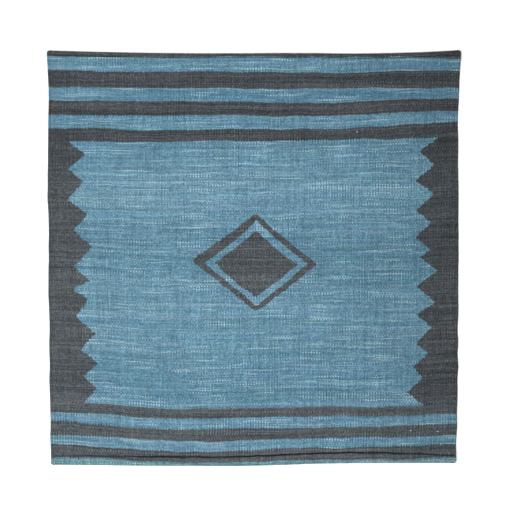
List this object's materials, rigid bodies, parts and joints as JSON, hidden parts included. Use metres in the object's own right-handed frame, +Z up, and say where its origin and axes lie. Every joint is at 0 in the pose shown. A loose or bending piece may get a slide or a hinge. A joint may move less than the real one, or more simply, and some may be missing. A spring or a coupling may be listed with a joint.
{
  "type": "kilim rug",
  "caption": "Flat-woven square wool rug with end stripes, saw-edged side borders, a middle diamond, corded selvedges and turned hems.",
  "frame": {"origin": "on the floor, under the middle of the rug", "axes": "+X across the rug along its wefts, +Y along its warps towards the end with the dark edge stripe, +Z up out of the face"},
  "size_m": [0.9076, 0.9126, 0.0083],
  "materials": {
    "woven_wool": "matt weft-faced wool in greyed blue and charcoal"
  },
  "bodies": {
    "root": {"kilim_cloth": "woven_wool"}
  },
  "joints": []
}
